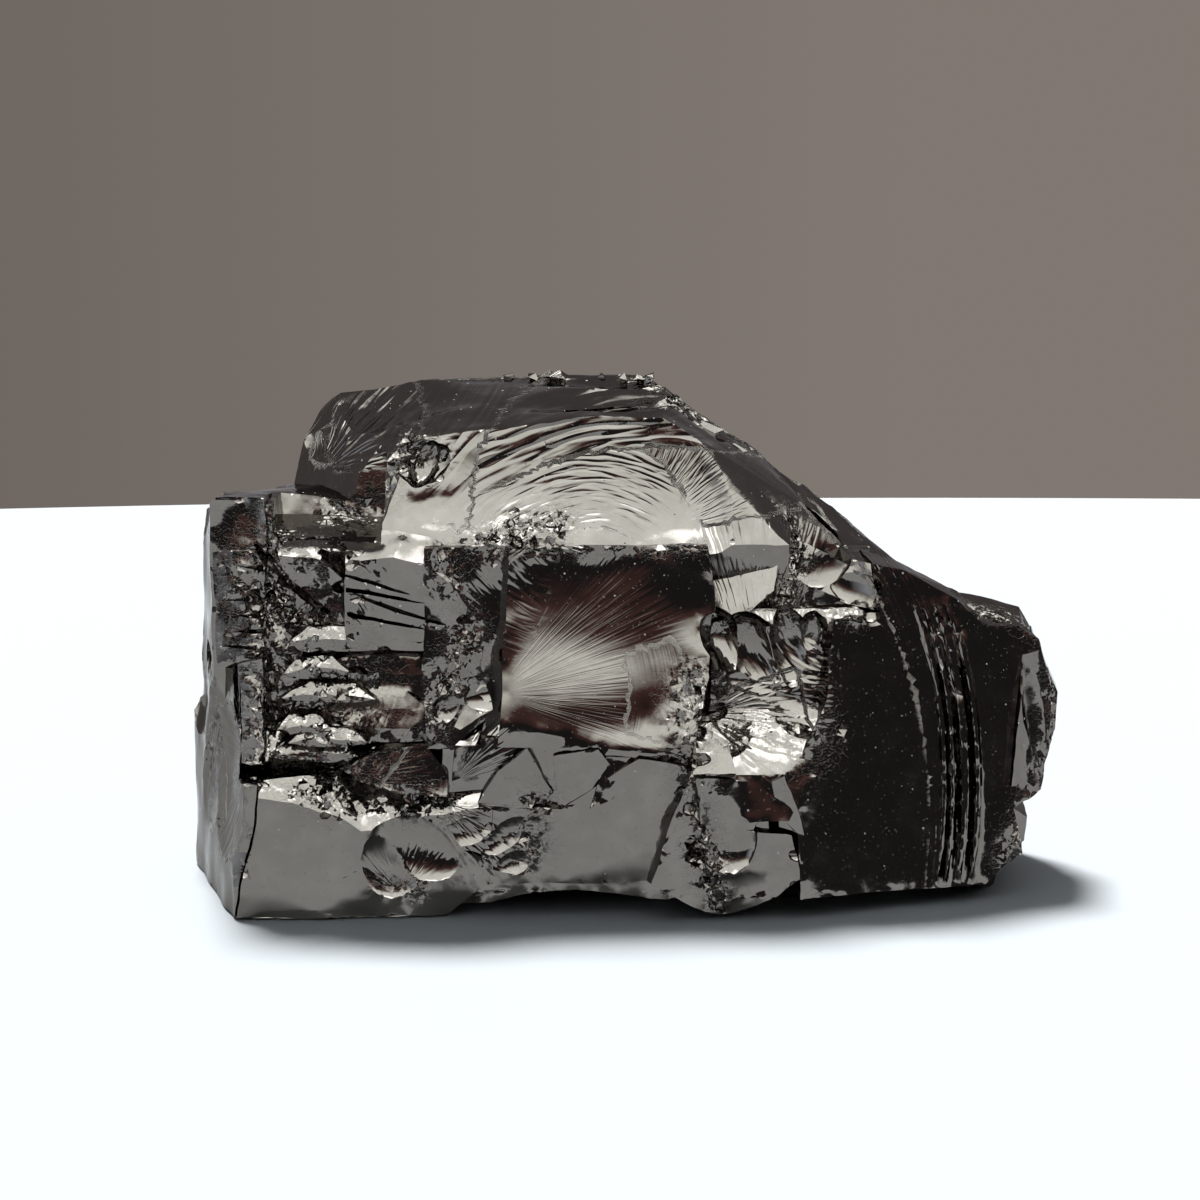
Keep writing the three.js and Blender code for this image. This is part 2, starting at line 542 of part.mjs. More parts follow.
// The underside is a flat break with three hollows in it.
const BASE_HOLLOWS = [
  { at: [-5, -8.5, 0], normal: [0, 0, -1], across: 9, along: 5, depth: 1.6 },
  { at: [16, -4, 0], normal: [0, 0, -1], across: 5, along: 4, depth: 0.9 },
  { at: [-16, 8, 0], normal: [0, 0, -1], across: 6, along: 4.5, depth: 0.8 },
];

// The body with its breaks behind, on top and under the crest.
function core() {
  const flats = BACK_FLATS.map(({ at, normal }) => beyond(at, normal));
  const whole = join([carve(body(), flats), backLedges(), crestSlope(), endSlab()]);
  return carve(whole, [...CREST_BREAKS, ...TOP_BREAKS, ...BACK_BREAKS].map(shell));
}

// The whole stone, broken off flat where it stands.
function stone() {
  const whole = join([
    core(), pillar(), plinth(), band(), stack(), centre(), darkFace(), foot(), bench(), nook(),
    ...crest(),
  ]);
  const ground = beyond([0, 0, 0], [0, 0, -1]);
  return carve(whole, [...gaps(), ground, ...BASE_HOLLOWS.map(shell)]);
}

// A solid's surface, moved so that the middle of its underside is at the origin.
function geometryOf(made) {
  const mesh = made.getMesh();
  const points = new Float32Array(mesh.numVert * 3);
  for (let i = 0; i < mesh.numVert; i++) {
    points.set(mesh.vertProperties.subarray(i * mesh.numProp, i * mesh.numProp + 3), i * 3);
  }
  const geometry = new THREE.BufferGeometry();
  geometry.setAttribute("position", new THREE.BufferAttribute(points, 3));
  geometry.setIndex(new THREE.BufferAttribute(mesh.triVerts, 1));
  geometry.computeBoundingBox();
  const { min, max } = geometry.boundingBox;
  geometry.translate(-(min.x + max.x) / 2, -(min.y + max.y) / 2, -min.z);
  geometry.computeVertexNormals();
  return geometry;
}

const shungite = new THREE.MeshStandardMaterial({
  color: 0x2a2828, roughness: 0.12, metalness: 0.9, flatShading: true,
});
const lumpMesh = new THREE.Mesh(geometryOf(stone()), shungite);
lumpMesh.name = "shungite_stone";

const group = new THREE.Group();
group.add(lumpMesh);
export default group;
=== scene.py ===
import math
import random

import bmesh
import bpy
import numpy as np
from mathutils import Euler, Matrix, Vector, kdtree, noise
from mathutils.bvhtree import BVHTree


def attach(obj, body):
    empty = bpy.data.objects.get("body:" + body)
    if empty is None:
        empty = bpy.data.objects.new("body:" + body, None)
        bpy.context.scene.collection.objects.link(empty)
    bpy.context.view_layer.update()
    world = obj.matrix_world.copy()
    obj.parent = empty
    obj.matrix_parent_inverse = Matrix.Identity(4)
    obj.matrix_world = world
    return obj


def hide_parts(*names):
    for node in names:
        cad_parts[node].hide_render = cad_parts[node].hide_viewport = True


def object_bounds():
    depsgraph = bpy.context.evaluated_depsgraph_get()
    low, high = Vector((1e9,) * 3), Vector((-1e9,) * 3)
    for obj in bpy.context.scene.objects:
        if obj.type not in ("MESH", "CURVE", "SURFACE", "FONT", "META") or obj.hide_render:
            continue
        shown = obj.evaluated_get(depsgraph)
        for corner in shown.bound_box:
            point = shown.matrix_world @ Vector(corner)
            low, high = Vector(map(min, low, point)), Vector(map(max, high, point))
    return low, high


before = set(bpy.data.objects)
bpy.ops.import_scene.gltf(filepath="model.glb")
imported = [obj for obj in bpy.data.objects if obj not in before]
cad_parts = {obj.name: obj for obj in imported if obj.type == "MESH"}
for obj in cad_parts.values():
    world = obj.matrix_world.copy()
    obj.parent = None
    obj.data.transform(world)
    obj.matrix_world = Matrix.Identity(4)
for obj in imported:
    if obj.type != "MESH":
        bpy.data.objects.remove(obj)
solid_low, solid_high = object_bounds()
scene = bpy.context.scene
scene.view_settings.view_transform = "Standard"

# The view: a camera a hand's breadth and a half from the stone, a little over its top and
# tipped down to it. The lens is long for the distance, so the stone keeps its proportions.
EYE = Vector((-0.0017, -0.1718, 0.0415))
EYE_TIPPED_DOWN = 7.5
LENS_MM = 72.9
SENSOR_MM = 36.0
NEAREST_SEEN = 0.01

camera_data = bpy.data.cameras.new("camera")
camera_data.sensor_width = SENSOR_MM
camera_data.lens = LENS_MM
camera_data.clip_start = NEAREST_SEEN
camera = bpy.data.objects.new("camera", camera_data)
camera.location = EYE
camera.rotation_euler = (math.radians(90 - EYE_TIPPED_DOWN), 0, 0)
scene.collection.objects.link(camera)
scene.camera = camera

# The table: a round top, painted a cool matt white. The stone lies near its far edge.
TABLE_RADIUS = 0.66
TABLE_MIDDLE = Vector((0.06, -0.365, -0.0001))
TABLE_THICK = 0.02
TABLE_RIM_SEGMENTS = 256
TABLE_WHITE = (0.74, 0.785, 0.82, 1)
TABLE_ROUGHNESS = (0.55, 0.7)
TABLE_MOTTLES_A_METRE = 60
TABLE_MOTTLE_DETAIL = 4


def table_top():
    profile = bmesh.new()
    bmesh.ops.create_circle(
        profile, cap_ends=True, segments=TABLE_RIM_SEGMENTS, radius=TABLE_RADIUS
    )
    drop = bmesh.ops.extrude_face_region(profile, geom=profile.faces[:])
    low = [part for part in drop["geom"] if isinstance(part, bmesh.types.BMVert)]
    bmesh.ops.translate(profile, verts=low, vec=(0, 0, -TABLE_THICK))
    bmesh.ops.translate(profile, verts=profile.verts[:], vec=TABLE_MIDDLE)
    bmesh.ops.recalc_face_normals(profile, faces=profile.faces[:])
    mesh = bpy.data.meshes.new("table_top")
    profile.to_mesh(mesh)
    profile.free()
    return mesh


table = bpy.data.objects.new("table", table_top())
scene.collection.objects.link(table)
paint = bpy.data.materials.new("table_paint")
paint.use_nodes = True
nodes, links = paint.node_tree.nodes, paint.node_tree.links
coords = nodes.new("ShaderNodeTexCoord")
mottle = nodes.new("ShaderNodeTexNoise")
mottle.inputs["Scale"].default_value = TABLE_MOTTLES_A_METRE
mottle.inputs["Detail"].default_value = TABLE_MOTTLE_DETAIL
tone = nodes.new("ShaderNodeMapRange")
tone.inputs["To Min"].default_value = TABLE_ROUGHNESS[0]
tone.inputs["To Max"].default_value = TABLE_ROUGHNESS[1]
links.new(coords.outputs["Object"], mottle.inputs["Vector"])
links.new(mottle.outputs["Fac"], tone.inputs["Value"])
links.new(tone.outputs["Result"], nodes["Principled BSDF"].inputs["Roughness"])
nodes["Principled BSDF"].inputs["Base Color"].default_value = TABLE_WHITE
table.data.materials.append(paint)

# The light of the room: a bright ceiling, paler cream lower down, a dark side behind the
# camera, a grey-brown wall at the back and daylight from the left. Each band is an elevation,
# as the sine of its angle, with its brightness. What is matt sees only a dim even glow.
SKY_BANDS = [
    (0.20, (0.050, 0.047, 0.050)),
    (0.34, (0.26, 0.13, 0.12)),
    (0.44, (1.2, 1.2, 1.15)),
    (0.56, (2.7, 2.85, 2.8)),
    (0.93, (3.3, 3.5, 3.5)),
    (0.98, (8.0, 8.3, 8.6)),
]
WALL = (0.215, 0.188, 0.166, 1)
WALL_DARK_END = (0.150, 0.127, 0.114, 1)
WALL_IN_STONE = (0.29, 0.275, 0.29, 1)
DAYLIGHT_LEFT = (1.0, 1.12, 1.3, 1)
GLOW = (0.014, 0.0145, 0.016, 1)

# Where a part of the room starts and where it is full, along one axis of the way to it.
WALL_DARKENS_X = (0.12, -0.3)
DAYLIGHT_LEFT_X = (-0.45, -0.8)
DAYLIGHT_LEFT_Z = (0.42, 0.3)
WALL_IN_STONE_Y = (0.2, 0.45)
WALL_IN_STONE_Z = (0.90, 0.80)
MET_NOTHING_MATT = 0.5  # the diffuse depth of such a ray is below this

room = bpy.data.worlds.new("room")
room.use_nodes = True
room.cycles.sampling_method = "NONE"
scene.world = room
nodes, links = room.node_tree.nodes, room.node_tree.links
nodes.clear()
out = nodes.new("ShaderNodeOutputWorld")
light = nodes.new("ShaderNodeBackground")
toward = nodes.new("ShaderNodeTexCoord")
split = nodes.new("ShaderNodeSeparateXYZ")
links.new(toward.outputs["Generated"], split.inputs["Vector"])


def band(axis, start, end):
    """0 to 1 as the direction's part along an axis goes from start to end."""
    mask = nodes.new("ShaderNodeMapRange")
    mask.inputs["From Min"].default_value = start
    mask.inputs["From Max"].default_value = end
    links.new(split.outputs[axis], mask.inputs["Value"])
    return mask.outputs["Result"]


def both(first, second):
    product = nodes.new("ShaderNodeMath")
    product.operation = "MULTIPLY"
    links.new(first, product.inputs[0])
    links.new(second, product.inputs[1])
    return product.outputs["Value"]


def over(under, colour, where):
    """The colour (plain or from a node) laid over another where the mask is 1."""
    mix = nodes.new("ShaderNodeMix")
    mix.data_type = "RGBA"
    links.new(where, mix.inputs["Factor"])
    for socket, value in ((mix.inputs["A"], under), (mix.inputs["B"], colour)):
        if isinstance(value, tuple):
            socket.default_value = value
        else:
            links.new(value, socket)
    return mix.outputs["Result"]


sky = nodes.new("ShaderNodeValToRGB")
stops = sky.color_ramp.elements
for number, (height, colour) in enumerate(SKY_BANDS):
    stop = stops[number] if number < len(stops) else stops.new(height)
    stop.position = height
    stop.color = (*colour, 1)
links.new(split.outputs["Z"], sky.inputs["Fac"])
wall = over(WALL, WALL_DARK_END, band("X", *WALL_DARKENS_X))
at_left = both(band("X", *DAYLIGHT_LEFT_X), band("Z", *DAYLIGHT_LEFT_Z))
lit = over(sky.outputs["Color"], DAYLIGHT_LEFT, at_left)
at_back = both(band("Y", *WALL_IN_STONE_Y), band("Z", *WALL_IN_STONE_Z))
lit = over(lit, WALL_IN_STONE, at_back)

# The stone shows the room, but throws none of these reflections on to the table.
ray = nodes.new("ShaderNodeLightPath")
straight = nodes.new("ShaderNodeMath")
straight.operation = "LESS_THAN"
straight.inputs[1].default_value = MET_NOTHING_MATT
links.new(ray.outputs["Diffuse Depth"], straight.inputs[0])
lit = over(GLOW, lit, both(ray.outputs["Is Glossy Ray"], straight.outputs["Value"]))
lit = over(lit, wall, ray.outputs["Is Camera Ray"])
links.new(lit, light.inputs["Color"])
links.new(light.outputs["Background"], out.inputs["Surface"])

# Daylight from high up behind the stone and to the left, which throws a soft shadow forward
# and to the right. Its own image is kept out of the stone's faces.
DAYLIGHT_FROM = Vector((-0.15, 0.38, 0.91))
DAYLIGHT_STRENGTH = 4.4
DAYLIGHT_SOFTNESS = 14

daylight_data = bpy.data.lights.new("daylight", "SUN")
daylight_data.energy = DAYLIGHT_STRENGTH
daylight_data.angle = math.radians(DAYLIGHT_SOFTNESS)
daylight = bpy.data.objects.new("daylight", daylight_data)
daylight.rotation_euler = DAYLIGHT_FROM.to_track_quat("Z", "Y").to_euler()
daylight.visible_glossy = False
scene.collection.objects.link(daylight)

# The lump of shungite, before its skin is worked: the solid itself, in millimetres. It has no
# cleavage to speak of and breaks like thick glass, into flat faces, shells and sharp edges.
MM = 1000
SAME_POINT_MM = 0.002

body = bmesh.new()
body.from_mesh(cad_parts["shungite_stone"].data)
bmesh.ops.scale(body, vec=(MM, MM, MM), verts=body.verts[:])
bmesh.ops.remove_doubles(body, verts=body.verts[:], dist=SAME_POINT_MM)
skin = BVHTree.FromBMesh(body)
blank_mesh = bpy.data.meshes.new("blank")
body.to_mesh(blank_mesh)
body.free()
blank = bpy.data.objects.new("blank", blank_mesh)
scene.collection.objects.link(blank)
finish = bpy.data.materials.new("shungite_finish")

# The shell-shaped scars, as spoons of stone that came away from the front. Each row is the
# scar's middle across and up, its half width and half height, the roll of its outline in
# degrees, its depth, and how far it leans back and turns right of square to the front.
SCARS = [
    # the plinth, low at the left
    (-13.7, 4.6, 2.4, 1.6, -25, 0.2, 2, 8),
    (-15.4, 3.4, 1.6, 1.7, 30, 0.2, -2, -4),
    # the row of scoops along the bench, and its floor
    (7.2, 17.3, 1.2, 2.3, 38, 0.7, 10, -20),
    (9.0, 16.5, 1.5, 2.6, 30, 0.8, 5, -10),
    (11.5, 16.8, 1.2, 2.3, 14, 0.6, 10, -25),
    (12.4, 18.0, 0.8, 1.3, -10, 0.5, 0, 0),
    (9.2, 14.6, 2.0, 0.9, -14, 0.5, 25, 0),
    (6.2, 12.9, 0.9, 0.6, 20, 0.6, 30, 0),
    (7.6, 11.8, 2.6, 1.7, 20, 0.25, 42, -18),
    (11.0, 12.6, 2.2, 1.4, -25, 0.22, 44, 16),
    # the ledge left of the set-back face
    (-11.3, 13.7, 1.1, 0.8, 20, 0.3, 15, 0),
    (-9.4, 14.1, 0.9, 0.7, -10, 0.25, 20, 0),
    # three thin slots across the leaves
    (-16.3, 21.9, 2.7, 0.13, -16, 0.5, 0, 0),
    (-14.8, 20.2, 3.2, 0.14, -17, 0.5, 0, 0),
    (-22.2, 21.8, 2.9, 0.28, -47, 0.7, 0, 0),
    # the nook between the plinth and the flat below the set-back face
    (-10.6, 5.6, 1.5, 0.9, 10, 0.3, 10, 10),
    (-8.3, 5.3, 1.6, 0.8, 35, 0.3, -5, 15),
    (-9.6, 3.3, 1.5, 0.8, -20, 0.3, 10, -10),
    (-7.2, 3.4, 1.2, 0.8, 15, 0.3, 15, 0),
    # the double chip above the leaves
    (-13.6, 29.1, 1.5, 0.8, 55, 0.4, 20, 20),
    (-12.7, 29.8, 0.9, 0.6, 20, 0.3, 30, -10),
    # the long shell at the right tip
    (27.7, 12.3, 0.9, 5.2, 2, 0.2, 8, 48),
    # the foot
    (6.2, 6.6, 1.8, 2.8, 14, 0.35, -6, 12),
    (7.6, 2.2, 1.9, 1.2, 14, 0.2, -8, 8),
    # the right end of the crest
    (13.0, 22.6, 1.9, 1.5, 25, 0.3, 8, -5),
    (15.7, 21.2, 1.6, 1.2, -25, 0.25, 4, -25),
]
DEPTH_SHARE = 0.35  # of a spoon's half thickness that goes into the stone
OUTLINE_SHARE = math.sqrt(1 - (1 - DEPTH_SHARE) ** 2)
OUTSIDE_MM = 100  # surely outside the stone, from any point in it
FROM_FRONT = Vector((0, -OUTSIDE_MM, 0))
SPOON_ROUNDNESS = 3  # how often the ball that shapes a bit is subdivided


def add(tree, kind, values=(), **settings):
    """A node of a tree. Its values go to inputs by place or name, plain or from a node."""
    made = tree.nodes.new(kind)
    for name, value in settings.items():
        setattr(made, name, value)
    for key, value in dict(values).items():
        if isinstance(value, bpy.types.NodeSocket):
            tree.links.new(value, made.inputs[key])
        else:
            made.inputs[key].default_value = value
    return made


def named(tree, name):
    return add(
        tree, "GeometryNodeInputNamedAttribute", {"Name": name}, data_type="FLOAT_VECTOR"
    ).outputs[0]


def bits_out_tree():
    """A tree that takes one rounded or angular bit out of the stone at each place."""
    tree = bpy.data.node_groups.new("bits_out", "GeometryNodeTree")
    for name, kind in (
        ("Stone", "NodeSocketGeometry"), ("Places", "NodeSocketObject"),
        ("Roundness", "NodeSocketInt"), ("Finish", "NodeSocketMaterial"),
    ):
        tree.interface.new_socket(name, in_out="INPUT", socket_type=kind)
    tree.interface.new_socket("Stone", in_out="OUTPUT", socket_type="NodeSocketGeometry")
    given = tree.nodes.new("NodeGroupInput").outputs
    places = add(tree, "GeometryNodeObjectInfo", {"Object": given["Places"]})
    points = add(tree, "GeometryNodeMeshToPoints", {"Mesh": places.outputs["Geometry"]})
    bit = add(
        tree, "GeometryNodeMeshIcoSphere", {"Radius": 1.0, "Subdivisions": given["Roundness"]}
    )
    marked = add(
        tree, "GeometryNodeStoreNamedAttribute",
        {"Geometry": bit.outputs[0], "Name": "scar", "Value": 1.0},
        data_type="FLOAT", domain="FACE",
    )
    bits = add(
        tree, "GeometryNodeInstanceOnPoints",
        {
            "Points": points.outputs[0], "Instance": marked.outputs[0],
            "Rotation": named(tree, "turn"), "Scale": named(tree, "size"),
        },
    )
    cut = add(
        tree, "GeometryNodeMeshBoolean",
        {"Mesh 1": given["Stone"], "Mesh 2": bits.outputs[0], "Self Intersection": True},
        operation="DIFFERENCE", solver="EXACT",
    )
    plain = add(tree, "GeometryNodeRealizeInstances", {"Geometry": cut.outputs[0]})
    coated = add(
        tree, "GeometryNodeSetMaterial",
        {"Geometry": plain.outputs[0], "Material": given["Finish"]},
    )
    add(tree, "NodeGroupOutput", {0: coated.outputs[0]})
    return tree


bits_out = bits_out_tree()


def take_out(name, bits, roundness):
    """Takes bits out of the blank stone. Each has its middle, its three radii and its turn."""
    middles, sizes, turns = zip(*bits)
    spots = bpy.data.meshes.new(name)
    spots.from_pydata(middles, [], [])
    for what, values in (("size", sizes), ("turn", turns)):
        spots.attributes.new(what, "FLOAT_VECTOR", "POINT").data.foreach_set(
            "vector", [part for value in values for part in value]
        )
    places = bpy.data.objects.new(name, spots)
    scene.collection.objects.link(places)
    breaking = blank.modifiers.new(name, "NODES")
    breaking.node_group = bits_out
    given = {"Places": places, "Roundness": roundness, "Finish": finish}
    for socket in bits_out.interface.items_tree:
        if socket.in_out == "INPUT" and socket.name in given:
            breaking[socket.identifier] = given[socket.name]
    whole = blank.evaluated_get(bpy.context.evaluated_depsgraph_get())
    broken_mesh = bpy.data.meshes.new_from_object(whole)
    blank.modifiers.remove(breaking)
    blank.data = broken_mesh
    bpy.data.objects.remove(places)


def spoon(spot, facing, half_width, half_height, depth):
    """The bit that leaves a scar of this outline and depth. Its own Y points into the stone."""
    thick = depth / DEPTH_SHARE
    middle = spot + facing @ Vector((0, depth - thick, 0))
    size = (half_width / OUTLINE_SHARE, thick, half_height / OUTLINE_SHARE)
    return middle, size, facing.to_euler()


def front_spoon(across, up, half_width, half_height, roll, depth, lean, turn):
    spot = skin.ray_cast(FROM_FRONT + Vector((across, 0, up)), Vector((0, 1, 0)))[0]
    facing = Euler((math.radians(-lean), math.radians(-roll), math.radians(turn)), "YXZ")
    return spoon(spot, facing.to_quaternion(), half_width, half_height, depth)


take_out("spoons", [front_spoon(*scar) for scar in SCARS], SPOON_ROUNDNESS)

# Behind, below and at the left end the stone was struck all over, and shells of every size
# came away there. Each keeps its middle, the way it faces and its outline, for its ripples.
BLOWS = 105
BLOWS_POINT_AT = ((-26, 26), (-8, 12), (3, 30))  # a box inside the stone, across, deep and up
LEFT_END_X = -0.6  # where the outward way starts to count as the left end, struck as well
FRONT_Y = -5  # in front of this the underside is left whole
SHELL_HALF_WIDTHS = (2.0, 8.5)
SHELLS_MOSTLY_SMALL = 1.6
SHELL_SLIMNESS = (0.5, 0.9)
SHELL_DEPTHS = (0.05, 0.11)  # as a share of its half width
SHELL_STEP_MM = 0.5  # how much deeper it is on one side than on the other
luck = random.Random(11)  # with a fixed seed, so that the stone is the same each time


def random_way():
    return Vector([luck.gauss(0, 1) for _ in range(3)]).normalized()


def shells_behind():
    """The shells that the blows struck off where the front isn't seen."""
    found = []
    low, high = SHELL_HALF_WIDTHS
    for _ in range(BLOWS):
        inside = Vector([luck.uniform(*reach) for reach in BLOWS_POINT_AT])
        toward = random_way()
        spot, way, _, _ = skin.ray_cast(inside + toward * OUTSIDE_MM, -toward)
        half_width = low + (high - low) * luck.random() ** SHELLS_MOSTLY_SMALL
        half_height = half_width * luck.uniform(*SHELL_SLIMNESS)
        roll = Euler((0, luck.uniform(0, math.tau), 0)).to_quaternion()
        lean = random_way() * SHELL_STEP_MM / half_width
        depth = half_width * luck.uniform(*SHELL_DEPTHS)
        if spot is None:
            continue
        turned_away = way.dot(EYE * MM - spot) < 0 and spot.y > FRONT_Y
        if not turned_away and way.x > LEFT_END_X:
            continue
        facing = (-way - lean).to_track_quat("Y", "Z") @ roll
        found.append((spot, facing, half_width, half_height, depth))
    return found


shells = shells_behind()
take_out("shells", [spoon(*shell) for shell in shells], SPOON_ROUNDNESS)

# Small chips off the edges, and the crumbled strips and patches. Round bits came off the sharp
# edges, more and bigger where the stone is broken up, and angular ones out of the patches.
# A strip or patch runs from one point to another, with a reach and how broken it is.
BROKEN = [
    # the left block: the seam at its end slab, its face and the edge of its plinth
    ((-23.0, -11.0, 26.0), (-23.7, -16.0, 10.0), 1.2, 1.0),
    ((-23.0, -14.0, 22.0), (-19.0, -15.0, 12.0), 3.0, 0.45),
    ((-21.4, -15.7, 8.4), (-12.3, -15.0, 7.2), 0.9, 0.8),
    # the right side of the set-back face
    ((4.6, -14.0, 14.8), (4.4, -14.5, 10.2), 1.3, 1.0),
    # the bench: down to it from the crest, its lip and its floor
    ((11.5, -7.0, 25.5), (10.8, -9.4, 20.0), 1.0, 1.0),
    ((6.0, -10.0, 18.9), (15.2, -10.8, 19.3), 0.7, 0.9),
    ((6.5, -13.0, 12.4), (11.5, -13.5, 11.6), 1.8, 0.28),
    # under the large leaf at the upper left
    ((-19.3, -7.8, 25.4), (-16.0, -9.0, 27.0), 1.4, 1.0),
    ((-16.0, -9.0, 27.0), (-13.8, -9.2, 30.9), 1.2, 1.0),
    # the crest: the right of its top, and its foot above the set-back face
    ((3.3, -0.7, 33.5), (7.9, 1.6, 30.3), 1.5, 1.0),
    ((-9.6, -12.5, 24.2), (-4.4, -11.2, 25.7), 0.9, 1.0),
    ((-12.0, -13.0, 24.2), (5.0, -12.0, 24.2), 0.5, 0.5),
    # round the right tip
    ((23.0, -6.0, 20.0), (28.6, -5.0, 17.0), 1.0, 0.8),
    ((28.6, -5.0, 17.0), (29.6, -6.0, 10.0), 1.0, 0.8),
    ((29.6, -6.0, 10.0), (26.6, -9.8, 2.5), 1.0, 0.9),
    # low at the front: the plinth's foot and the nook
    ((-16.2, -15.9, 2.2), (-13.6, -15.7, 1.6), 0.5, 0.5),
    ((-5.7, -15.3, 7.7), (-6.3, -15.4, 4.0), 1.0, 0.6),
    # between the leaves and the set-back face
    ((-12.1, -14.6, 23.4), (-10.3, -14.1, 18.1), 0.9, 0.4),
    ((-10.3, -14.1, 18.1), (-12.8, -16.0, 13.1), 1.1, 0.65),
    # the left edge of the foot
    ((4.2, -15.8, 9.0), (6.2, -16.2, 1.2), 0.9, 0.8),
]
RIDGE_DEGREES = 30
OUT_OF_VIEW = (1, 1)  # behind this and above this
WEAK_EDGES = 0.3  # the share of the edges out of view that crumbled along their length
WEAK_EDGE_MM = 1.5  # the shortest of them
WEAK_REACHES = (0.4, 0.9)
WEAK_BREAKAGE = (0.5, 0.9)
RIBS = (18.5, 26.0)  # the ribs of the right face, from and to, which stay clean
SOUND = 0.1  # the most breakage that still counts as sound stone
CHIP_EVERY_MM = 4.2
CHIP_RADII = (0.14, 0.6)
CHIPS_MOSTLY_SMALL = 2.5
CHIP_SHAPE = (0.8, 1.3)  # its own three radii against the one drawn
CHIP_STANDS_OFF = (0.72, 0.95)  # its middle from the edge, in radii
MORE_WHERE_BROKEN = 2
BIGGER_WHERE_BROKEN = 0.5
CHIP_ROUNDNESS = 2
SOUND_SPOT = Vector((7.9, -11.3, 21.4))  # on the flat at the right end of the crest, unchipped
SOUND_REACH = 1.6
CRUMBS_A_SQUARE_MM = 2.8
CRUMB_RADII = (0.22, 0.75)
CRUMB_SHAPE = (0.5, 1.4)
CRUMB_STANDS_OFF = (0.45, 0.8)
CRUMB_SPREAD = 0.6  # against the reach of its strip
CRUMB_ROUNDNESS = 1


def ridges():
    """The sharp edges that stand out, each with its ends and the way it faces."""
    body = bmesh.new()
    body.from_mesh(blank.data)
    least = math.radians(RIDGE_DEGREES)
    found = []
    for edge in body.edges:
        if len(edge.link_faces) == 2 and edge.calc_face_angle_signed(0) > least:
            facing = edge.link_faces[0].normal + edge.link_faces[1].normal
            found.append((*(vert.co.copy() for vert in edge.verts), facing.normalized()))
    body.free()
    return found


def may_be_weak(start, end):
    behind, above = OUT_OF_VIEW
    return start.y > behind and start.z > above and (end - start).length > WEAK_EDGE_MM


def weak_edges():
    """Strips along some of the edges behind and on top."""
    return [
        (start, end, luck.uniform(*WEAK_REACHES), luck.uniform(*WEAK_BREAKAGE))
        for start, end, _ in ridges()
        if may_be_weak(start, end) and luck.random() < WEAK_EDGES
    ]


broken = BROKEN + weak_edges()


def from_line(point, start, end):
    """The distance of a point from the line between two others."""
    along = end - start
    share = min(max((point - start).dot(along) / along.length_squared, 0), 1)
    return (point - start - along * share).length


def breakage(point):
    """0 on sound stone, up to 1 where it is broken up."""
    return max(
        share * math.exp(-((from_line(point, Vector(start), Vector(end)) / reach) ** 2))
        for start, end, reach, share in broken
    )


def clean_rib(point):
    return RIBS[0] < point.x < RIBS[1] and point.y < 0 and breakage(point) < SOUND


def any_turn():
    return [luck.uniform(0, math.tau) for _ in range(3)]


def edge_chips():
    """Rounded bits at random along the ridges, more and bigger where the stone is broken."""
    chips = []
    low, high = CHIP_RADII
    for start, end, way in ridges():
        here = (start + end) / 2
        if clean_rib(here):
            continue
        how_broken = breakage(here)
        hoped = (end - start).length / CHIP_EVERY_MM * (1 + MORE_WHERE_BROKEN * how_broken)
        for _ in range(int(hoped + luck.random())):
            radius = low + (high - low) * luck.random() ** CHIPS_MOSTLY_SMALL
            radius *= 1 + BIGGER_WHERE_BROKEN * how_broken
            middle = start.lerp(end, luck.random()) + way * radius * luck.uniform(*CHIP_STANDS_OFF)
            radii = [radius * luck.uniform(*CHIP_SHAPE) for _ in range(3)]
            chips.append((middle, radii, any_turn()))
    return [chip for chip in chips if (chip[0] - SOUND_SPOT).length > SOUND_REACH]


def crumbs_out():
    """Angular bits, thrown at random over the broken strips and seated in the skin."""
    crumbs = []
    for start, end, reach, share in broken:
        start, end = Vector(start), Vector(end)
        area = ((end - start).length + reach) * reach
        for _ in range(int(area * share * CRUMBS_A_SQUARE_MM)):
            near = start.lerp(end, luck.random())
            near += Vector([luck.gauss(0, reach * CRUMB_SPREAD) for _ in range(3)])
            spot, way, _, _ = skin.find_nearest(near)
            radius = luck.uniform(*CRUMB_RADII)
            middle = spot + way * radius * luck.uniform(*CRUMB_STANDS_OFF)
            radii = [radius * luck.uniform(*CRUMB_SHAPE) for _ in range(3)]
            crumbs.append((middle, radii, any_turn()))
    return crumbs


take_out("chips", edge_chips(), CHIP_ROUNDNESS)
take_out("crumbs", crumbs_out(), CRUMB_ROUNDNESS)

# The skin of the stone. Its faces are cut into small ones, the shells between sharp edges are
# smoothed, and each point learns how far it is from an edge and how broken the stone is there.
SHARP_DEGREES = 27
FINE_MM = 0.56
COARSE_MM = 1.35
CREST_COARSER = 1.4  # the crest's grain, against the front's
FRONT_BEFORE_Y = -5.5  # the front, which is cut fine, down to just above the table
FRONT_ABOVE_Z = 0.5
CREST_BEFORE_Y = 4
CREST_ABOVE_Z = 26
CUTS = 6
LEVEL_TURN = 0.002  # in radians, the turn between two faces that are still one flat
JOIN_MM = 0.03
SLIVER_MM = 0.015
HOLE_SIDES = 16  # the largest crack that is closed again, by its edges
UPRIGHT_BELOW = 0.5  # the up part of the normal of a face that counts as upright, as the ribs'
SMOOTHING = 0.5  # how far a pass takes a point to the middle of its neighbours
SHELL_PASSES = 12
RIB_PASSES = 2
EDGE_PASSES = 2
WORN_SEAM = Vector((-2.6, -9.6, 28.2))  # where two shells of the crest run into each other
WORN_SEAM_REACH = 3.4


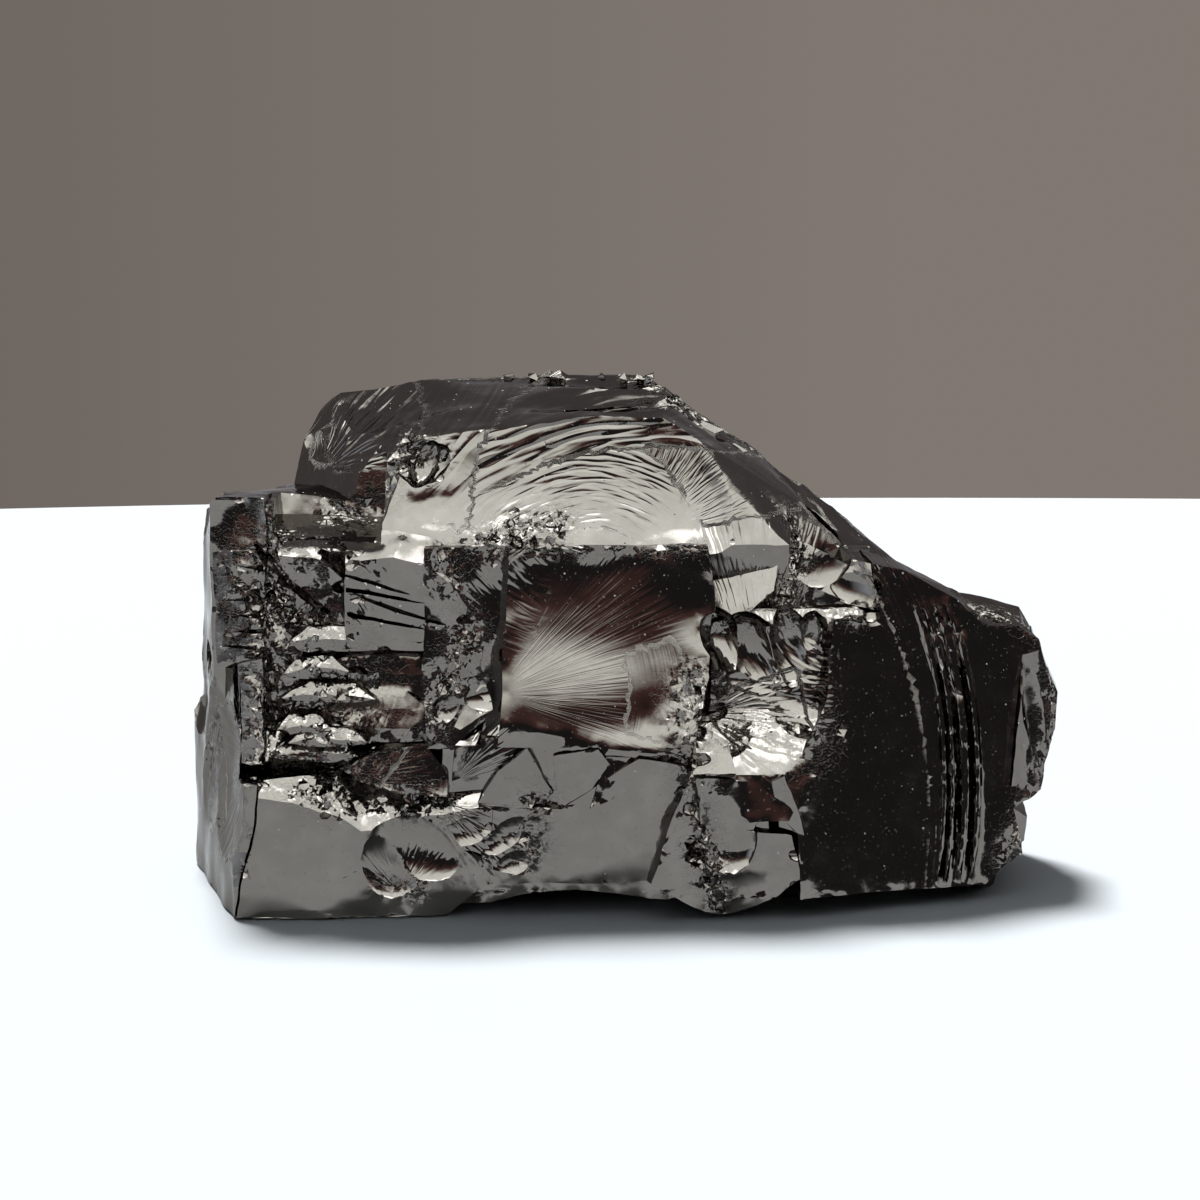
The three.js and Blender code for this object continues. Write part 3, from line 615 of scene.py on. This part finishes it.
def longest_here(middle):
    """How long an edge may be at a place: short at the front, long behind and below."""
    if middle.y < FRONT_BEFORE_Y and middle.z > FRONT_ABOVE_Z:
        return FINE_MM
    if middle.z > CREST_ABOVE_Z and middle.y < CREST_BEFORE_Y:
        return FINE_MM * CREST_COARSER
    return COARSE_MM


def unfold(body):
    """Deletes the faces that lie folded on each other, two by two, and what hangs loose."""
    same = {}
    for face in body.faces:
        same.setdefault(frozenset(face.verts), []).append(face)
    folded = [face for group in same.values() for face in group[len(group) % 2:]]
    bmesh.ops.delete(body, geom=folded, context="FACES_ONLY")
    bare_edges = [edge for edge in body.edges if not edge.link_faces]
    bmesh.ops.delete(body, geom=bare_edges, context="EDGES")
    bare_verts = [vert for vert in body.verts if not vert.link_edges]
    bmesh.ops.delete(body, geom=bare_verts, context="VERTS")


def cut_small(body, longest):
    """Cuts a mesh's edges until hardly any is longer than longest(its middle)."""
    for _ in range(CUTS):
        long_edges = [
            edge for edge in body.edges
            if edge.calc_length() > longest((edge.verts[0].co + edge.verts[1].co) / 2)
        ]
        if not long_edges:
            return
        bmesh.ops.subdivide_edges(body, edges=long_edges, cuts=1)
        bmesh.ops.triangulate(body, faces=[face for face in body.faces if len(face.verts) > 3])
        flat = [
            edge for edge in body.edges
            if edge.smooth and len(edge.link_faces) == 2 and edge.calc_face_angle(1) < LEVEL_TURN
        ]
        bmesh.ops.beautify_fill(body, faces=body.faces[:], edges=flat)
        unfold(body)


def drop_loose_bits(body):
    """Keeps the stone and deletes the crumbs that hang free, or by a point or a shared edge."""
    unseen = set(body.faces)
    groups = []
    while unseen:
        waiting = [unseen.pop()]
        group = []
        while waiting:
            face = waiting.pop()
            group.append(face)
            sound = [edge for edge in face.edges if len(edge.link_faces) == 2]
            near = {other for edge in sound for other in edge.link_faces if other in unseen}
            unseen.difference_update(near)
            waiting.extend(near)
        groups.append(group)
    groups.sort(key=len)
    loose = [face for group in groups[:-1] for face in group]
    bmesh.ops.delete(body, geom=loose, context="FACES")


body = bmesh.new()
body.from_mesh(blank.data)
bpy.data.objects.remove(blank)
bmesh.ops.remove_doubles(body, verts=body.verts[:], dist=JOIN_MM)
bmesh.ops.dissolve_degenerate(body, dist=SLIVER_MM, edges=body.edges[:])
drop_loose_bits(body)
bmesh.ops.triangulate(body, faces=body.faces[:])
unfold(body)
open_edges = [edge for edge in body.edges if len(edge.link_faces) == 1]
bmesh.ops.holes_fill(body, edges=open_edges, sides=HOLE_SIDES)
bmesh.ops.triangulate(body, faces=body.faces[:])
scar = body.faces.layers.float["scar"]
for edge in body.edges:
    if len(edge.link_faces) != 2:
        edge.smooth = False
        continue
    first, second = edge.link_faces
    middle = (edge.verts[0].co + edge.verts[1].co) / 2
    worn = (middle - WORN_SEAM).length < WORN_SEAM_REACH and first[scar] + second[scar] == 0
    upright = max(abs(first.normal.z), abs(second.normal.z)) < UPRIGHT_BELOW
    rim = first[scar] != second[scar]
    sharp = rim or edge.calc_face_angle(0) > math.radians(SHARP_DEGREES)
    edge.smooth = worn or (clean_rib(middle) and upright) or not sharp
cut_small(body, longest_here)
bmesh.ops.dissolve_degenerate(body, dist=SAME_POINT_MM, edges=body.edges[:])
bmesh.ops.triangulate(body, faces=body.faces[:])
unfold(body)
drop_loose_bits(body)
body.verts.index_update()
place = np.array([vert.co for vert in body.verts])
corners = np.array([[vert.index for vert in face.verts] for face in body.faces])
pairs = np.array([[vert.index for vert in edge.verts] for edge in body.edges])
is_sharp = np.array([not edge.smooth for edge in body.edges])
in_scar = np.array([any(face[scar] > 0.5 for face in vert.link_faces) for vert in body.verts])
body.free()


def average_of_neighbours(points, joined):
    """The mean of each point's neighbours over the joined pairs, and how many it has."""
    ends = np.concatenate([joined[:, 0], joined[:, 1]])
    others = np.concatenate([joined[:, 1], joined[:, 0]])
    count = np.bincount(ends, minlength=len(points))
    total = np.stack(
        [np.bincount(ends, points[others, axis], minlength=len(points)) for axis in range(3)], 1
    )
    return total / np.maximum(count, 1)[:, None], count


def outward(points):
    """Unit normals, from the faces round each point."""
    first, second, third = (points[corners[:, k]] for k in range(3))
    face = np.cross(second - first, third - first)
    total = np.stack(
        [
            sum(np.bincount(corners[:, k], face[:, axis], minlength=len(points)) for k in range(3))
            for axis in range(3)
        ],
        1,
    )
    return total / np.maximum(np.linalg.norm(total, axis=1), 1e-12)[:, None]


on_edge = np.zeros(len(place), bool)
on_edge[pairs[is_sharp].ravel()] = True
free = ~on_edge & ~in_scar
ribbed = (place[:, 0] > RIBS[0]) & (place[:, 0] < RIBS[1]) & (place[:, 1] < 0)
for done in range(SHELL_PASSES):
    moving = free & ~(ribbed & (done >= RIB_PASSES))
    mean, _ = average_of_neighbours(place, pairs)
    place[moving] += SMOOTHING * (mean - place)[moving]
for _ in range(EDGE_PASSES):
    mean, count = average_of_neighbours(place, pairs[is_sharp])
    runs_on = on_edge & (count == 2) & ~in_scar
    place[runs_on] += SMOOTHING * (mean - place)[runs_on]

edge_tree = kdtree.KDTree(int(on_edge.sum()))
for number, index in enumerate(np.flatnonzero(on_edge)):
    edge_tree.insert(place[index], number)
edge_tree.balance()
from_edge = np.array([edge_tree.find(point)[2] for point in place])
broken_here = np.zeros(len(place))
for start, end, reach, share in broken:
    start, end = np.array(start), np.array(end)
    along = np.clip((place - start) @ (end - start) / ((end - start) @ (end - start)), 0, 1)
    gap = np.linalg.norm(place - start - along[:, None] * (end - start), axis=1)
    broken_here = np.maximum(broken_here, share * np.exp(-((gap / reach) ** 2)))

# What the break left in the surface: hackles, the rays that run out from where a shell
# started, and ripples, the waves round it. Each fan of them says which it is, its middle
# across and up, the first and last angle that it spans, its near and far reach, and the
# spacing, length and height of its lines.
FANS = [
    # the crest: its right shell and the waves across the left one
    ("rays", 0.0, 23.5, 5, 85, 5.0, 13.5, 0.42, 3.0, 0.036),
    ("ripples", -2.5, 18.5, 50, 145, 6.5, 13.0, 0.58, 4.0, 0.045),
    # the set-back face, from its left side
    ("rays", -8.6, 14.6, -28, 62, 1.0, 14.5, 0.28, 6.0, 0.0055),
    ("ripples", -8.6, 14.6, -20, 20, 8.5, 13.0, 0.35, 8.0, 0.008),
    # the facets at the crest's left, and above the bench
    ("ripples", -3.0, 27.5, 190, 255, 3.0, 12.0, 0.7, 3.5, 0.016),
    ("rays", 9.0, 14.0, 60, 115, 5.5, 13.0, 0.5, 4.0, 0.045),
    # the large leaf, and the broad waves over it
    ("rays", -21.8, 27.8, 10, 80, 1.2, 10.0, 0.62, 5.0, 0.14),
    ("ripples", -30.0, 46.0, -50, -15, 12.0, 30.0, 1.1, 6.0, 0.07),
    # below the bench, and the ledges of the left block down to its plinth
    ("rays", 4.6, 12.8, -45, 35, 0.5, 9.0, 0.6, 4.0, 0.05),
    ("rays", -18.8, 9.2, -25, 30, 0.5, 7.0, 0.4, 4.0, 0.012),
    ("rays", -11.6, 8.6, 5, 65, 0.8, 6.0, 0.45, 5.0, 0.022),
    ("rays", -14.9, 1.4, 20, 160, 0.6, 5.0, 0.4, 3.0, 0.010),
    ("rays", -12.4, 7.4, -75, 0, 0.8, 7.5, 0.6, 3.0, 0.030),
    # the top of the crest, the fine ribs of the right face, the crest's right end
    ("ripples", 2.0, 8.0, 60, 130, 22.0, 28.5, 1.0, 7.0, 0.07),
    ("ripples", -10.0, 6.0, -14, 42, 30.4, 34.2, 0.5, 20.0, 0.026),
    ("ripples", 14.0, 20.0, 180, 275, 2.5, 9.0, 0.7, 3.0, 0.040),
    # the leaves of the left block
    ("ripples", -24.0, 16.0, -60, 60, 3.0, 12.0, 0.8, 3.0, 0.022),
]
BACK_FANS = [
    # behind: low at the right, across the left, down the left shoulder, up the right side
    # and down from the crest
    ("rays", 8.0, 6.0, 20, 110, 1.0, 17.0, 0.6, 6.0, 0.030),
    ("ripples", -12.0, 2.0, 30, 140, 8.0, 22.0, 0.9, 8.0, 0.035),
    ("rays", -22.0, 24.0, -80, -5, 1.0, 14.0, 0.5, 5.0, 0.030),
    ("ripples", 22.0, 20.0, 170, 260, 4.0, 14.0, 0.8, 6.0, 0.040),
    ("rays", 0.0, 31.0, -125, -55, 1.0, 13.0, 0.5, 5.0, 0.025),
]
BACK_FROM_Y = 8.0
FADE_AT_SIDES = 0.35  # of half its span
FADE_NEAR = 0.12  # of the way from its near reach to its far one
FADE_FAR = 0.25
SHELL_FAN_HALF_SPAN = 60
SHELL_FAN_NEAR = 0.3
SHELL_FAN_FAR = 2.1  # against the shell's half width
SHELL_FAN_SPACINGS = (0.3, 0.8)
SHELL_FAN_LENGTH = 4.0
SHELL_FAN_HEIGHTS = (0.01, 0.05)
SHELL_FAN_DEEP_MM = 0.4  # how far past the shell's own depth its lines may lie
FIRST_SHELL_FAN = 100
WIDE_LINES = 0.35  # how many of the lines in the mesh go to one fine line
WIDE_HEIGHT = 0.8  # against a fine line's
WIDE_FROM_HEIGHT = 0.004
WIDE_FROM_EDGE_MM = 0.3
NEXT_FAN = 3.1  # how far the lines of one fan lie from the next one's, so that no two match


def ramp(value, start, end):
    """0 to 1, eased at both ends, as a value goes from start to end."""
    share = np.clip((value - start) / (end - start), 0, 1)
    return share * share * (3 - 2 * share)


grain = np.zeros((len(place), 3))
grain_height = np.zeros(len(place))


def lay_fan(number, side, rise, where, fan):
    """Writes a fan's lines into the grain, wherever they stand higher than what is there."""
    kind, first, last, near, far, spacing, length, height = fan
    reach = np.hypot(side, rise)
    middle_angle = (first + last) / 2
    angle = (np.degrees(np.arctan2(rise, side)) - middle_angle + 180) % 360 - 180
    half = (last - first) / 2
    here = height * ramp(half - np.abs(angle), 0, half * FADE_AT_SIDES)
    here *= ramp(reach, near, near + FADE_NEAR * (far - near))
    here *= ramp(far - reach, 0, FADE_FAR * (far - near))
    here *= where
    arc = np.radians(angle) * (near + far) / 2
    lines, run = (arc, reach) if kind == "rays" else (reach, arc)
    best = here > grain_height
    grain[best] = np.stack([lines / spacing, run / length, np.full(len(place), number)], 1)[best]
    grain_height[best] = here[best]


at_the_back = place[:, 1] > BACK_FROM_Y
for number, (kind, across, up, *reaches) in enumerate(FANS + BACK_FANS):
    where = at_the_back if number >= len(FANS) else ~at_the_back
    lay_fan(number, place[:, 0] - across, place[:, 2] - up, where, (kind, *reaches))

# Each shell behind has ripples or hackles of its own, from a start on its rim.
for number, (spot, facing, half_width, half_height, depth) in enumerate(shells):
    side, deep, rise = ((place - np.array(spot)) @ np.array(facing.to_matrix())).T
    in_shell = (side / half_width) ** 2 + (rise / half_height) ** 2 < 1
    in_shell &= (np.abs(deep) < depth + SHELL_FAN_DEEP_MM) & in_scar
    fan = (
        ("ripples", "rays")[number % 2], -SHELL_FAN_HALF_SPAN, SHELL_FAN_HALF_SPAN,
        SHELL_FAN_NEAR, SHELL_FAN_FAR * half_width,
        luck.uniform(*SHELL_FAN_SPACINGS), SHELL_FAN_LENGTH, luck.uniform(*SHELL_FAN_HEIGHTS),
    )
    lay_fan(FIRST_SHELL_FAN + number, side + half_width, rise, in_shell, fan)

# The widest of the lines stand out in the mesh as well.
normal = outward(place)
stands_out = (grain_height > WIDE_FROM_HEIGHT) & (from_edge > WIDE_FROM_EDGE_MM)
for index in np.flatnonzero(stands_out):
    lines, run, number = grain[index]
    rise = noise.noise(Vector((lines * WIDE_LINES, run * WIDE_LINES, number * NEXT_FAN)))
    place[index] += normal[index] * rise * grain_height[index] * WIDE_HEIGHT

# Broad, shallow swells in the shells, which lean parts of them forward or back. Each has its
# middle across and up, its reach across and up, how far it stands out, and whether the sharp
# edges hold still.
SWELLS = [
    (-4.5, 14.5, 4.0, 2.4, 0.30, True),
    (-12.5, 26.4, 3.2, 2.4, -0.30, True),
    (5.5, 27.0, 4.2, 2.8, -0.25, True),
    (1.5, 12.5, 3.0, 2.0, -0.20, True),
    (-4.0, 21.0, 5.0, 2.2, -0.12, True),
    (-20.0, -1.0, 9.0, 4.0, 0.45, False),
]
SWELLS_BEFORE_Y = -5
HELD_WITHIN_MM = 1.2  # of an edge that holds still

for across, up, wide, high, height, edges_hold in SWELLS:
    lump = np.exp(-(((place[:, 0] - across) / wide) ** 2) - ((place[:, 2] - up) / high) ** 2)
    fade = ramp(from_edge, 0.0, HELD_WITHIN_MM) if edges_hold else 1
    place[:, 1] -= height * lump * (fade * (place[:, 1] < SWELLS_BEFORE_Y))

# A natural edge is never straight: it wanders a little, and more where the stone is broken.
# A long, lazy sweep lies under the small wander, but not on the clean right face.
WANDER_MM = 0.05
BROKEN_WANDER_MM = 0.15
WANDER_SIZE_MM = 0.9
WANDER_REACH_MM = 0.4  # from an edge
WANDER_OCTAVES = 3
SWEEP_MM = 0.22
SWEEP_SIZE_MM = 3.5
SWEEP_REACH_MM = 2.0
SWEEP_OCTAVES = 1
SWEEP_ENDS_X = (11, 14)
WANDER_SEED = 5  # fixed, or the wander would be another one each time
SEED_STEP = Vector((17.3, 5.1, 9.7))


def scatter(points, size, seed, octaves):
    """Three smooth random numbers for each point, about -1 to 1, that vary over `size` mm."""
    shift = SEED_STEP * seed
    return np.array([
        noise.turbulence_vector(Vector(point) / size + shift, octaves, False) for point in points
    ])


noise.seed_set(WANDER_SEED)
near_edge = np.exp(-((from_edge / WANDER_REACH_MM) ** 2))
wander = WANDER_MM * near_edge + BROKEN_WANDER_MM * broken_here
place += scatter(place, WANDER_SIZE_MM, 1, WANDER_OCTAVES) * wander[:, None]
sweep = SWEEP_MM * np.exp(-((from_edge / SWEEP_REACH_MM) ** 2))
sweep *= 1 - ramp(place[:, 0], *SWEEP_ENDS_X)
place += scatter(place, SWEEP_SIZE_MM, 2, SWEEP_OCTAVES) * sweep[:, None]
place = np.clip(place, np.array(solid_low) * MM, np.array(solid_high) * MM)

# The finished stone: its mesh in metres, shaded smooth in the shells, sharp at the edges and
# flat where it is crumbled, with the grain and the breakage that its finish needs.
SHADED_SHARP_DEGREES = 24
CRUMBLED = 0.4  # the breakage above which each face is shaded flat

stone_mesh = bpy.data.meshes.new("raw_shungite")
stone_mesh.from_pydata((place / MM).tolist(), [], corners.tolist())
stone_mesh.update()
stone_mesh.materials.append(finish)
stone_mesh.shade_smooth()
stone_mesh.set_sharp_from_angle(angle=math.radians(SHADED_SHARP_DEGREES))
crumbled = broken_here[corners].mean(1) > CRUMBLED
stone_mesh.polygons.foreach_set("use_smooth", ~crumbled)
stone_mesh.attributes.new("grain", "FLOAT_VECTOR", "POINT").data.foreach_set("vector", grain.ravel())
for name, values in (("grain_height", grain_height), ("breakage", broken_here)):
    stone_mesh.attributes.new(name, "FLOAT", "POINT").data.foreach_set("value", values)
stone = bpy.data.objects.new("raw_shungite", stone_mesh)
scene.collection.objects.link(stone)

# The finish of a fresh break: nearly black, and as bright as metal. Over the plain gloss lie
# the fine lines of the fans, small facets where the stone is broken, a faint unevenness in
# the flats, a few scratches, patches of haze and specks of dust.
SHUNGITE = (0.158, 0.144, 0.130, 1)
SHUNGITE_HAZED = (0.190, 0.174, 0.158, 1)
GRAZING_TINT = (0.5, 0.49, 0.48, 1)
DUST = (0.8, 0.79, 0.77, 1)
GLOSS_ROUGHNESS = 0.055
HAZE_ROUGHNESS = 0.13
BROKEN_ROUGHER = 0.06
SCRATCHES_ROUGHER = 0.12
DUST_ROUGHER = 0.6
LINE_WIDTH = 0.16  # of a hackle or ripple, in the noise that draws it
FLATS_UNEVEN_MM = 0.055
SKIN_UNEVEN_MM = 0.0035
SCRATCH_DEPTH_MM = 0.004
SCRATCH_TURN = (0.3, 0.5, 0.9)  # how the noise for scratches is turned and stretched
SCRATCH_STRETCH = (6, 0.25, 6)
SCRATCHED = (0.735, 0.75)  # the noise where a scratch starts and is full
HAZED = (0.45, 0.75)  # the same for haze
DUST_CELLS_A_MM = 1.5
DUST_RADII = (-0.14, 0.12)  # in cells, drawn evenly between these, and none below zero

finish.use_nodes = True
tree = finish.node_tree
gloss = tree.nodes["Principled BSDF"]


def fed(kind, values=(), output=0, **settings):
    """One output of a new node of the finish."""
    return add(tree, kind, values, **settings).outputs[output]


def sums(operation, first, second=0.0):
    return fed("ShaderNodeMath", {0: first, 1: second}, operation=operation)


def attribute(name, output):
    return fed("ShaderNodeAttribute", output=output, attribute_name=name)


def remapped(value, start, end, low=0.0, high=1.0):
    return fed(
        "ShaderNodeMapRange",
        {"Value": value, "From Min": start, "From Max": end, "To Min": low, "To Max": high},
    )


def mixed(share, first, second):
    return fed(
        "ShaderNodeMix", {"Factor": share, "A": first, "B": second}, "Result", data_type="RGBA"
    )


def noise_at(where, scale, detail, roughness=0.5):
    return fed(
        "ShaderNodeTexNoise",
        {"Vector": where, "Scale": scale, "Detail": detail, "Roughness": roughness},
        "Fac",
    )


def cells_at(where, scale):
    return add(tree, "ShaderNodeTexVoronoi", {"Vector": where, "Scale": scale}).outputs


def vectors(operation, first, second, output=0):
    return fed("ShaderNodeVectorMath", {0: first, 1: second}, output, operation=operation)


def facets(size, tilt):
    """Small flat facets, each leaning its own way, as a height in mm."""
    cell = cells_at(in_mm, 1 / size)
    lean = vectors("SUBTRACT", cell["Color"], (0.5, 0.5, 0.5))
    across = vectors("SUBTRACT", in_mm, cell["Position"])
    return sums("MULTIPLY", vectors("DOT_PRODUCT", lean, across, "Value"), tilt)


in_mm = vectors("MULTIPLY", fed("ShaderNodeTexCoord", output="Object"), (MM, MM, MM))
how_broken = attribute("breakage", "Fac")

# The relief. A line of a fan is a sharp ridge in noise that is stretched along the fan.
lines = noise_at(attribute("grain", "Vector"), scale=1.0, detail=1.5, roughness=0.45)
ridge = sums("ABSOLUTE", sums("SUBTRACT", lines, 0.5))
steps = remapped(ridge, 0.0, LINE_WIDTH)
fan_height = sums("MULTIPLY", steps, attribute("grain_height", "Fac"))
broken_height = sums("ADD", facets(size=0.55, tilt=0.9), facets(size=0.2, tilt=0.5))
broken_height = sums("MULTIPLY", broken_height, how_broken)
flats = noise_at(in_mm, scale=0.28, detail=2, roughness=0.4)
uneven = sums("MULTIPLY", flats, FLATS_UNEVEN_MM)
pores = noise_at(in_mm, scale=1.6, detail=3, roughness=0.6)
fine_uneven = sums("MULTIPLY", pores, SKIN_UNEVEN_MM)
stretched = fed(
    "ShaderNodeMapping", {"Vector": in_mm, "Rotation": SCRATCH_TURN, "Scale": SCRATCH_STRETCH}
)
scratches = remapped(noise_at(stretched, scale=1.0, detail=1), *SCRATCHED)
height = sums("ADD", sums("ADD", fan_height, broken_height), sums("ADD", uneven, fine_uneven))
height = sums("ADD", height, sums("MULTIPLY", scratches, -SCRATCH_DEPTH_MM))
bump = add(tree, "ShaderNodeBump", {"Height": height, "Distance": 1 / MM, "Strength": 1.0})
tree.links.new(bump.outputs["Normal"], gloss.inputs["Normal"])

# The colour and the gloss. Dust is the one thing on the stone that isn't glossy.
speck = cells_at(in_mm, DUST_CELLS_A_MM)
drawn = fed("ShaderNodeSeparateColor", {0: speck["Color"]})
dust = sums("LESS_THAN", speck["Distance"], remapped(drawn, 0.0, 1.0, *DUST_RADII))
haze = remapped(noise_at(in_mm, scale=0.5, detail=5, roughness=0.65), *HAZED)
colour = mixed(dust, mixed(haze, SHUNGITE, SHUNGITE_HAZED), DUST)
tree.links.new(colour, gloss.inputs["Base Color"])
gloss.inputs["Specular Tint"].default_value = GRAZING_TINT
tree.links.new(sums("SUBTRACT", 1.0, dust), gloss.inputs["Metallic"])
rough = remapped(haze, 0.0, 1.0, GLOSS_ROUGHNESS, HAZE_ROUGHNESS)
for where, rougher in (
    (how_broken, BROKEN_ROUGHER), (scratches, SCRATCHES_ROUGHER), (dust, DUST_ROUGHER),
):
    rough = sums("ADD", rough, sums("MULTIPLY", where, rougher))
tree.links.new(rough, gloss.inputs["Roughness"])

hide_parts("shungite_stone")
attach(stone, "root")
